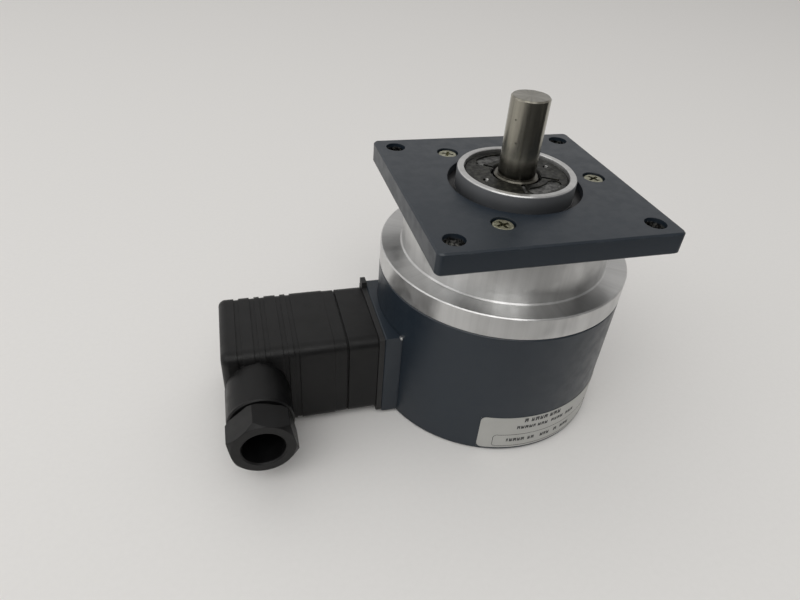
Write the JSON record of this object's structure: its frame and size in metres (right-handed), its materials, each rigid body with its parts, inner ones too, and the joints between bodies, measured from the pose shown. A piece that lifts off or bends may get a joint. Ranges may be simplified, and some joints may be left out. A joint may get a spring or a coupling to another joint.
{
  "type": "rotary encoder",
  "caption": "Incremental rotary encoder with a round housing, square adapter plate, solid shaft and a square plug-in connector with a cable gland.",
  "frame": {"origin": "centre of the housing's rear face, on the shaft axis", "axes": "+Z along the shaft towards its free end; -X out through the connector; -Y out through the cable gland"},
  "size_m": [0.116, 0.0701, 0.0905],
  "materials": {
    "housing_paint": "satin blue-grey paint",
    "machined_aluminium": "turned, bright",
    "shaft_steel": "ground stainless steel",
    "bearing_steel": "ground",
    "cage_steel": "pressed",
    "spring_steel": "dark oiled",
    "zinc_plate": "yellow zinc plated",
    "black_oxide": "satin black",
    "black_plastic": "fine moulded texture",
    "grey_plastic": "moulded",
    "black_rubber": "matte",
    "brass": "machined",
    "tinned_contact": "tin plated",
    "disc_glass": "polished, chrome graduations",
    "lens_plastic": "polished",
    "circuit_board": "green solder mask",
    "label_film": "silver-grey film",
    "wire_insulation": "extruded"
  },
  "bodies": {
    "encoder_body": {"housing_cup": "housing_paint", "rear_screws": "zinc_plate", "cup_o_ring": "black_rubber", "flange_body": "machined_aluminium", "adapter_plate": "housing_paint", "plate_screws": "zinc_plate", "label": "label_film", "lock_ring": "black_oxide", "front_outer_race": "bearing_steel", "front_shield": "cage_steel", "rear_outer_race": "bearing_steel", "wave_spring": "spring_steel", "bearing_clip": "spring_steel", "led_holder": "black_plastic", "led": "lens_plastic", "reader_head": "black_plastic", "photo_sensor": "lens_plastic", "reticle": "disc_glass", "sensor_board": "circuit_board", "main_board": "circuit_board", "upper_pillars": "brass", "middle_pillars": "brass", "lower_pillars": "brass", "board_chips": "black_plastic", "capacitors": "machined_aluminium", "board_header": "black_plastic", "connector_wires": "wire_insulation", "connector_block": "housing_paint", "block_screws": "zinc_plate", "base_gasket": "black_rubber", "socket_base": "black_plastic", "contact_blades": "tinned_contact", "base_screws": "zinc_plate", "base_insert": "brass", "hood_gasket": "black_rubber"},
    "rotor": {"shaft": "shaft_steel", "shaft_circlip": "spring_steel", "front_inner_race": "bearing_steel", "rear_inner_race": "bearing_steel", "disc_hub": "machined_aluminium", "hub_set_screws": "black_oxide", "code_disc": "disc_glass", "disc_clamp": "machined_aluminium"},
    "front_cage_set": {"front_balls": "bearing_steel", "front_cage": "cage_steel"},
    "rear_cage_set": {"rear_balls": "bearing_steel", "rear_cage": "cage_steel"},
    "plug_hood": {"connector_hood": "black_plastic", "terminal_insert": "grey_plastic", "terminal_screws": "zinc_plate", "centre_screw_seal": "black_rubber", "gland_seal": "black_rubber"},
    "plug_screw": {"centre_screw": "zinc_plate"},
    "pressure_washer": {"gland_washer": "tinned_contact"},
    "pressure_nut": {"gland_nut": "black_plastic"}
  },
  "joints": [
    {"name": "shaft_spin", "type": "hinge", "parent": "encoder_body", "child": "rotor", "pos_m": [0, 0, 0.05], "axis": [0, 0, 1], "continuous": true},
    {"name": "front_cage_spin", "type": "hinge", "parent": "encoder_body", "child": "front_cage_set", "pos_m": [0, 0, 0.0632], "axis": [0, 0, 1], "continuous": true},
    {"name": "rear_cage_spin", "type": "hinge", "parent": "encoder_body", "child": "rear_cage_set", "pos_m": [0, 0, 0.0464], "axis": [0, 0, 1], "continuous": true},
    {"name": "plug_pull", "type": "slide", "parent": "encoder_body", "child": "plug_hood", "axis": [-1, 0, 0], "range_m": [0, 0.014]},
    {"name": "plug_screw_turn", "type": "hinge", "parent": "plug_hood", "child": "plug_screw", "pos_m": [-0.08, 0, 0.0154], "axis": [-1, 0, 0], "continuous": true},
    {"name": "gland_advance", "type": "slide", "parent": "plug_hood", "child": "pressure_washer", "axis": [0, -1, 0], "range_m": [0, 0.003]},
    {"name": "gland_nut_turn", "type": "hinge", "parent": "pressure_washer", "child": "pressure_nut", "pos_m": [-0.0721, -0.03, 0.015], "axis": [0, -1, 0], "range_deg": [0, 720]}
  ],
  "couplings": [
    {"joint": "front_cage_spin", "follows": "shaft_spin", "ratio": 0.381},
    {"joint": "rear_cage_spin", "follows": "shaft_spin", "ratio": 0.3678},
    {"joint": "gland_advance", "follows": "gland_nut_turn", "m_per_rad": 0.00022441}
  ]
}
